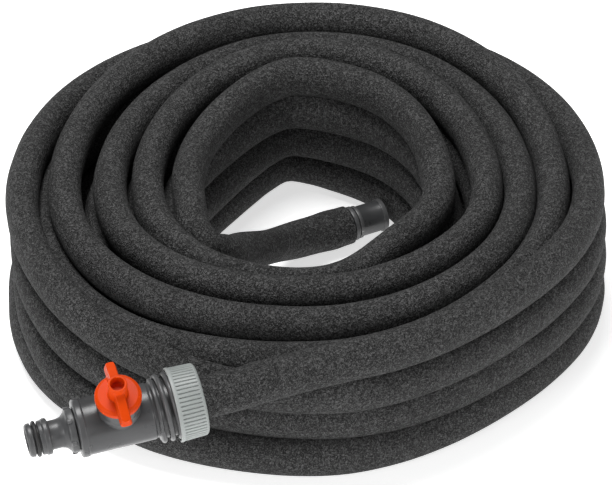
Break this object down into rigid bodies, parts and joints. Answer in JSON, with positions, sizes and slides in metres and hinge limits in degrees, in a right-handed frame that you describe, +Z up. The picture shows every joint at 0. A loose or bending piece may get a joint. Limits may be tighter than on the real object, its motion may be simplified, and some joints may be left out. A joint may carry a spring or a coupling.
{
  "type": "coiled soaker hose",
  "caption": "Porous black rubber soaker hose wound in a flat round coil, with a valved quick-coupling inlet fitting and a screw-on end cap.",
  "frame": {"origin": "middle of the footprint, on the surface that the coil lies on", "axes": "+Z up, the coil's axis is vertical, the inlet fitting lies on the -Y side and points towards -X"},
  "size_m": [0.2978, 0.3561, 0.1056],
  "materials": {
    "hose_rubber": "matte, granular",
    "seal_rubber": "satin",
    "grey_plastic": "satin",
    "light_grey_plastic": "satin",
    "orange_plastic": "semi-gloss",
    "dark_plastic": "satin",
    "white_plastic": "satin"
  },
  "bodies": {
    "hose_and_valve_body": {"hose_coil": "hose_rubber", "hose_lead": "hose_rubber", "hose_tail": "hose_rubber", "spigot": "grey_plastic", "spigot_o_ring": "seal_rubber", "spigot_seal": "seal_rubber", "valve_housing": "grey_plastic", "port_seal_inlet": "seal_rubber", "port_seal_outlet": "seal_rubber", "core_retainer": "white_plastic", "hose_barb": "grey_plastic", "barb_seal": "seal_rubber", "tail_plug": "dark_plastic"},
    "knob": {"valve_knob": "orange_plastic", "valve_core": "white_plastic", "core_o_ring_upper": "seal_rubber", "core_o_ring_lower": "seal_rubber"},
    "nut_thrust": {"grip_ring": "white_plastic"},
    "nut": {"clamp_nut": "light_grey_plastic"},
    "cap_thrust": {"end_cap_seal": "seal_rubber"},
    "cap": {"end_cap": "dark_plastic"}
  },
  "joints": [
    {"name": "knob_turn", "type": "hinge", "parent": "hose_and_valve_body", "child": "knob", "pos_m": [-0.08722, -0.15262, 0.07222], "axis": [0.0065, -0.374, 0.9274], "range_deg": [0, 90]},
    {"name": "nut_travel", "type": "slide", "parent": "hose_and_valve_body", "child": "nut_thrust", "axis": [0.9624, 0.2543, 0.0959], "range_m": [-0.0006, 0.0082]},
    {"name": "nut_turn", "type": "hinge", "parent": "nut_thrust", "child": "nut", "pos_m": [-0.0493, -0.1426, 0.076], "axis": [0.9624, 0.2543, 0.0959], "range_deg": [-45, 720]},
    {"name": "cap_travel", "type": "slide", "parent": "hose_and_valve_body", "child": "cap_thrust", "axis": [0.8942, 0.4478, 0], "range_m": [-0.0001, 0.0021]},
    {"name": "cap_turn", "type": "hinge", "parent": "cap_thrust", "child": "cap", "pos_m": [0.0239, 0.0757, 0.0105], "axis": [0.8942, 0.4478, 0], "range_deg": [0, 360]}
  ],
  "couplings": [
    {"joint": "nut_travel", "follows": "nut_turn", "m_per_rad": 0.00063662},
    {"joint": "cap_travel", "follows": "cap_turn", "m_per_rad": 0.00031831}
  ]
}
